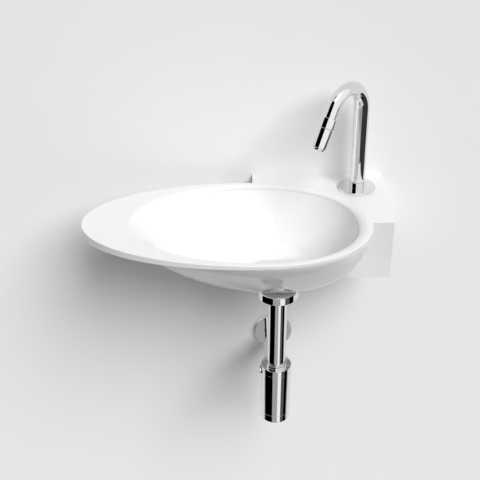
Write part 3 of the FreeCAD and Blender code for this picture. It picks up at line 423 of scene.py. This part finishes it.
cup_low, cup_high = reach("trap_body")
cup_r = (cup_high[0] - cup_low[0]) / 2
cap_low, cap_high = reach("trap_bottom_cap")
fit = 0.05  # gap where the cap meets the cup
trap_top, trap_bottom, cap_top = cup_high[2], cap_low[2] + fit, cup_low[2]
trap_height, trap_taper, trap_wall = trap_top - trap_bottom, 3.2, 2.2
bore_r = (2 * cup_r - trap_taper) / 2 - trap_wall


def cup_radius(z):
    """The trap narrows evenly from its top to its bottom."""
    return cup_r - trap_taper / 2 * (trap_top - z) / trap_height


line_z, line_width, seat_z, plug_z = trap_top - 12.0, 0.4, trap_top - 10.0, trap_top - 13.6
outlet_low, outlet_high = reach("outlet_pipe")
outlet_z = (outlet_low[2] + outlet_high[2]) / 2
sleeve_r, socket_bore, plug_bore = 18.2, 29.0, 7.0
into_wall = (0, 1, 0)
line_r = cup_radius(line_z)
cup = turned("trap_body_chrome",
             rounded([(bore_r, cap_top), (cup_radius(cap_top), cap_top), (line_r, line_z),
                      (line_r - line_width, line_z), (line_r - line_width, line_z + line_width),
                      (line_r, line_z + line_width), (cup_r, trap_top), (lid_r, trap_top),
                      (lid_r, seat_z), (bore_r, seat_z)],
                     [0.2, 0.3, 0.08, 0.08, 0.08, 0.08, 0.6, 0.5, 0.2, 0.2]), drain_place, up)
inside = bore_r + 1.0  # the socket starts within the cup's wall
socket = drill("socket", 2 * sleeve_r, cup_high[1] - drain_y - inside,
               (drain_x, drain_y + inside, outlet_z), into_wall)
carve(cup, "UNION", socket)
carve(cup, "DIFFERENCE",
      drill("socket_way", socket_bore, 60, (drain_x, drain_y, outlet_z), into_wall),
      drill("plug_hole", plug_bore, 60, (drain_x, drain_y, plug_z), (-1, 0, 0)))
show(cup, chrome, "chrome", "basin", "trap_body")
dress(chrome, "trap_side_plug")

groove_bottom, groove_top, groove = cap_top + 3.95, cap_top + 5.95, 1.0
cap_r, cap_foot_r, cap_middle = cup_radius(cap_top), cup_r - trap_taper / 2, 0.5
cap_edge, cap_floor = cap_top - fit, cap_low[2] + 3.0
spigot_r = bore_r - fit
cap_inner = spigot_r - trap_wall
cap = turned("trap_bottom_cap_chrome",
             rounded([(cap_middle, cap_low[2]), (cap_foot_r, cap_low[2]), (cap_r, cap_edge),
                      (spigot_r, cap_edge), (spigot_r, groove_bottom), (spigot_r - groove, groove_bottom),
                      (spigot_r - groove, groove_top), (spigot_r, groove_top), (spigot_r, cap_high[2]),
                      (cap_inner, cap_high[2]), (cap_inner, cap_floor), (cap_middle, cap_floor)],
                     [0.05, 1.0, 0.3, 0.2, 0.1, 0.1, 0.1, 0.1, 0.2, 0.2, 0.5, 0.05]),
             drain_place, up, looped=False)
show(cap, chrome, "chrome", "bottom_cap", "trap_bottom_cap")
dress(rubber, "trap_lid_seal", "trap_tube_seal", "trap_side_plug_seal", "trap_cap_ring")

# ---- outlet -------------------------------------------------------------------------------------
# Chromed sleeve and pipe from the trap to the wall, with a pressed rosette over the hole. The pipe
# is scored where it enters the wall, and a rubber ring holds the rosette on it.
outlet_place = (drain_x, 0, outlet_z)
sleeve_low, sleeve_high = reach("outlet_sleeve")
seal_r, seal_back, seal_front = 17.5, sleeve_high[1] - 5, sleeve_high[1] - 10
sleeve = turned("outlet_sleeve_chrome",
                rounded([(tube_r, sleeve_low[1]), (sleeve_r, sleeve_low[1]), (sleeve_r, sleeve_high[1]),
                         (tube_r, sleeve_high[1]), (tube_r, seal_back), (seal_r, seal_back),
                         (seal_r, seal_front), (tube_r, seal_front)],
                        [0.2, 0.2, 0.7, 0.3, 0.1, 0.1, 0.1, 0.1]), outlet_place, into_wall)
show(sleeve, chrome, "chrome", "basin", "outlet_sleeve")
pipe_bore_r, mark_r, mark_front = tube_r - tube_wall, tube_r - 0.2, -0.6
outlet_pipe = turned("outlet_pipe_chrome",
                     rounded([(pipe_bore_r, outlet_low[1]), (tube_r, outlet_low[1]),
                              (tube_r, mark_front), (mark_r, mark_front), (mark_r, 0), (tube_r, 0),
                              (tube_r, outlet_high[1]), (pipe_bore_r, outlet_high[1])],
                             [0.2, 0.2, 0.05, 0.05, 0.05, 0.05, 0.3, 0.3]), outlet_place, into_wall)
show(outlet_pipe, chrome, "chrome", "basin", "outlet_pipe")
rosette_low, rosette_high = reach("wall_rosette")
rosette_r, rosette_bore_r, sheet = (rosette_high[0] - rosette_low[0]) / 2, 16.05, 2
front, back = rosette_low[1], rosette_high[1]
rosette = turned("wall_rosette_chrome",
                 rounded([(rosette_bore_r, front), (rosette_r, front), (rosette_r, back),
                          (rosette_r - sheet, back), (rosette_r - sheet, front + sheet),
                          (rosette_bore_r, front + sheet)],
                         [0.3, 1.8, 0.3, 0.3, 1.0, 0.3]), outlet_place, into_wall)
show(rosette, chrome, "chrome", "rosette", "wall_rosette")
dress(rubber, "outlet_seal", "rosette_ring")

# ---- tap ----------------------------------------------------------------------------------------
# Chromed brass pillar tap held through the deck by a nut below. The gooseneck spout turns on a journal
# inside its foot, and the sleeve at its end turns to open the ceramic discs behind the nozzle.
disc_white, tree, shader = finish("disc_ceramic", (0.75, 0.74, 0.71), 0.0, 0.25)
tree.links.new(vary(tree, mottle(tree, 0.002), 0.2, 0.3), shader.inputs["Roughness"])
tap_place = (tap_x, tap_y, 0)
shank_r = 20.955 / 2
disc_low, disc_high = reach("tap_escutcheon")
disc_r, gasket_r, gasket = (disc_high[0] - disc_low[0]) / 2, 28, 1
escutcheon = turned("tap_escutcheon_chrome",
                    rounded([(gasket_r, rim_z), (disc_r, rim_z), (disc_r, disc_high[2]),
                             (shank_r, disc_high[2]), (shank_r, rim_z + gasket),
                             (gasket_r, rim_z + gasket)], [0.2, 0.3, 1.0, 0.2, 0.2, 0.2]),
                    tap_place, up)
show(escutcheon, chrome, "chrome", "basin", "tap_escutcheon")
column_r, column_bore_r = 12.7, 10.8
for name, inner, body in (("tap_base_collar", shank_r, "basin"),
                          ("spout_foot_ring", column_bore_r, "spout")):
    ring_low, ring_high = reach(name)
    show(pipe(name + "_chrome", column_r, inner, ring_low[2], ring_high[2], tap_place, up, 0.35),
         chrome, "chrome", body, name)

spout_way = math.radians(229)
heading = np.array([math.cos(spout_way), math.sin(spout_way), 0])
upwards = np.array([0, 0, 1.0])
bend_radius, bend_turn, end_r, spout_wall = 43.3, math.radians(149.2), 10.4, 1.9
column_foot = reach("spout")[0][2]
bend_z = rim_z + 147.0
bend_start = np.array([tap_x, tap_y, bend_z])
past_bend, sleeve_top = 68.8, 36.5
straight = past_bend - sleeve_top


def spout_tube():
    """Column, bend and straight end: circles of shrinking radius set square to the tube's centre line,
    up the outside and back down the bore."""
    edge = 0.3
    turn = np.linspace(0, bend_turn, 73)
    way = np.concatenate([[column_foot + edge - bend_z, -1.0], 0 * turn, [1.0, straight - edge]])
    angle = np.concatenate([[0, 0], turn, [bend_turn, bend_turn]])
    radius = column_r + (end_r - column_r) * angle / bend_turn
    along = np.cos(angle)[:, None] * upwards + np.sin(angle)[:, None] * heading
    centre = (bend_start + bend_radius * (1 - np.cos(angle))[:, None] * heading
              + bend_radius * np.sin(angle)[:, None] * upwards + way[:, None] * along)
    outward = np.cos(angle)[:, None] * heading - np.sin(angle)[:, None] * upwards
    aside = np.cross(upwards, heading)
    first, last = centre[:1] - edge * along[:1], centre[-1:] + edge * along[-1:]
    middles = np.concatenate([first, centre, last, last, centre[::-1], first])
    squares = np.concatenate([outward[:1], outward, outward[-1:], outward[-1:], outward[::-1],
                              outward[:1]])
    radii = np.concatenate([radius[:1] - edge, radius, radius[-1:] - edge, radius[-1:] - spout_wall,
                            radius[::-1] - spout_wall, radius[:1] - spout_wall])
    round_it = np.linspace(0, 2 * np.pi, 128, endpoint=False)[None, :, None]
    rings = middles[:, None, :] + radii[:, None, None] * (np.cos(round_it) * squares[:, None, :]
                                                          + np.sin(round_it) * aside[None, None, :])
    return closed("spout_chrome", rings, True)


show(spout_tube(), chrome, "chrome", "spout", "spout")

down_way = math.cos(bend_turn) * upwards + math.sin(bend_turn) * heading
bend_end = (bend_start + bend_radius * (1 - math.cos(bend_turn)) * heading
            + bend_radius * math.sin(bend_turn) * upwards)
outlet_end = bend_end + past_bend * down_way
back_up = -down_way
collar_r, collar_top = 13.2, 52.8
collar = pipe("spout_collar_ring_chrome", collar_r, end_r, sleeve_top, collar_top, outlet_end, back_up,
              0.6)
show(collar, chrome, "chrome", "spout", "spout_collar_ring")
lip_r, thread_r, nozzle_bore_r, water_r = 9.8, 8.8, 5, 6
lip_top, thread_top, floor_top = 4, 9, 11
sleeve_foot_r, sleeve_top_r, sleeve_bore_r, sleeve_edge = 11.8, 12.6, 9.75, 36.1
control = turned("control_sleeve_chrome",
                 rounded([(thread_r, lip_top), (sleeve_foot_r, lip_top), (sleeve_top_r, sleeve_edge),
                          (sleeve_bore_r, sleeve_edge), (sleeve_bore_r, floor_top), (water_r, floor_top),
                          (water_r, thread_top), (thread_r, thread_top)],
                         [0.2, 0.6, 0.5, 0.3, 0.2, 0.2, 0.2, 0.2]), outlet_end, back_up)
show(control, chrome, "chrome", "control", "control_sleeve")
nozzle = turned("outlet_nozzle_chrome",
                rounded([(nozzle_bore_r, 0), (lip_r, 0), (lip_r, lip_top), (thread_r, lip_top),
                         (thread_r, thread_top), (nozzle_bore_r, thread_top)],
                        [0.3, 1.2, 0.5, 0.1, 0.2, 0.2]), outlet_end, back_up)
show(nozzle, chrome, "chrome", "control", "outlet_nozzle")
dress(brass, "tap_shank", "disc_driver", "cartridge_body", "tap_clamp_nut")
dress(zinc, "tap_clamp_plate", "spout_stop_screw")
dress(rubber, "tap_gasket", "tap_clamp_pad", "journal_rings", "control_ring")
dress(nylon, "spout_bearing_bush")
dress(disc_white, "turning_disc", "fixed_disc")

# ---- the room -----------------------------------------------------------------------------------
# Pale wall behind, grey floor well below, one strong soft lamp from the upper right and a weak one
# from the left, and round the front of the object white, grey and black screens that only its shiny
# surfaces mirror.


def paint(name, colour, glow=0.0):
    """Matt paint, or a screen that glows by itself."""
    material, tree, shader = finish(name, colour, 0.0, 0.9)
    shader.inputs["Specular IOR Level"].default_value = 0.0
    shader.inputs["Emission Color"].default_value = (1, 1, 1, 1)
    shader.inputs["Emission Strength"].default_value = glow
    return material


def screen(name, corners, material):
    """A flat screen that isn't part of the object."""
    mesh = bpy.data.meshes.new(name)
    mesh.from_pydata(corners, [], [(0, 1, 2, 3)])
    piece = bpy.data.objects.new(name, mesh)
    bpy.context.scene.collection.objects.link(piece)
    mesh.materials.append(material)
    return piece


room_floor, wall_top, half_room = -0.9, 4, 6
screen("wall", [(-half_room, 0, room_floor), (half_room, 0, room_floor), (half_room, 0, wall_top),
                (-half_room, 0, wall_top)], paint("pale_wall", (0.88, 0.88, 0.88)))
screen("floor", [(-half_room, -half_room, room_floor), (half_room, -half_room, room_floor),
                 (half_room, 0, room_floor), (-half_room, 0, room_floor)],
       paint("grey_floor", (0.36, 0.36, 0.36)))


def only_mirrored(piece):
    """The screen shows in shiny surfaces and nowhere else."""
    piece.visible_camera = False
    piece.visible_diffuse = False
    piece.visible_shadow = False
    piece.visible_transmission = False


def surround(name, start, end, low, high, glow):
    """Upright screen bent round the object at an even distance, from start to end degrees to the
    right of the line from the object to the viewer."""
    distance, around = 0.6, 33
    turn = np.radians(np.linspace(start, end, around))[None, :]
    height = np.array([low, high])[:, None]
    x = -0.07 + distance * np.sin(turn) + 0 * height
    y = -0.17 - distance * np.cos(turn) + 0 * height
    points = np.stack([x, y, height + 0 * turn], -1).reshape(-1, 3)
    place = np.arange(around - 1)
    faces = np.stack([place, place + 1, place + 1 + around, place + around], -1)
    mesh = bpy.data.meshes.new(name)
    mesh.from_pydata(points.tolist(), [], faces.tolist())
    piece = bpy.data.objects.new(name, mesh)
    bpy.context.scene.collection.objects.link(piece)
    mesh.materials.append(paint(name, (0, 0, 0), glow))
    only_mirrored(piece)


trap_view_top, tap_view_top = -0.33, 0.05
for name, start, end, glow in (("black_cloth_left", -94, -27, 0.0), ("grey_card", -27, 12, 0.40),
                               ("white_screen", 12, 38, 1.0), ("dark_card", 38, 64, 0.10),
                               ("black_cloth_right", 64, 92, 0.0)):
    surround(name, start, end, room_floor, trap_view_top, glow)
surround("dark_card_for_the_tap", 18, 105, trap_view_top, tap_view_top, 0.04)
surround("black_flag_for_the_spout", -90, -8, 0.12, 2.40, 0.0)
only_mirrored(screen("window_overhead", [(-0.68, -1.08, 1.2), (0.6, -1.08, 1.2), (0.6, -0.35, 1.2),
                                         (-0.68, -0.35, 1.2)], paint("window", (0, 0, 0), 1.4)))


def lamp(name, energy, spread, way):
    """Soft parallel light that shines along way."""
    sun = bpy.data.lights.new(name, "SUN")
    sun.energy = energy
    sun.angle = math.radians(spread)
    holder = bpy.data.objects.new(name, sun)
    bpy.context.scene.collection.objects.link(holder)
    holder.rotation_euler = Vector(way).to_track_quat("-Z", "Y").to_euler()
    holder.visible_glossy = False


lamp("key", 3.25, 37, (-0.43, 0.72, -0.80))
lamp("fill_from_the_left", 0.3, 30, (1.0, 0.05, -0.3))

world = bpy.data.worlds.new("studio")
world.use_nodes = True
sky = world.node_tree
backdrop = sky.nodes["Background"]
backdrop.inputs["Color"].default_value = (1, 1, 1, 1)
rays = sky.nodes.new("ShaderNodeLightPath")
level = sky.nodes.new("ShaderNodeMapRange")
level.inputs["To Min"].default_value = 0.12
level.inputs["To Max"].default_value = 1.0
sky.links.new(rays.outputs["Is Glossy Ray"], level.inputs["Value"])
sky.links.new(level.outputs["Result"], backdrop.inputs["Strength"])
bpy.context.scene.world = world

camera = bpy.data.cameras.new("camera")
camera.lens = 75
camera.sensor_width = 36
eye = bpy.data.objects.new("camera", camera)
bpy.context.scene.collection.objects.link(eye)
eye.location = (-0.13425, -1.56805, 0.8324)
eye.rotation_euler = (math.radians(60), 0, 0)
bpy.context.scene.camera = eye
bpy.context.scene.view_settings.view_transform = "Standard"
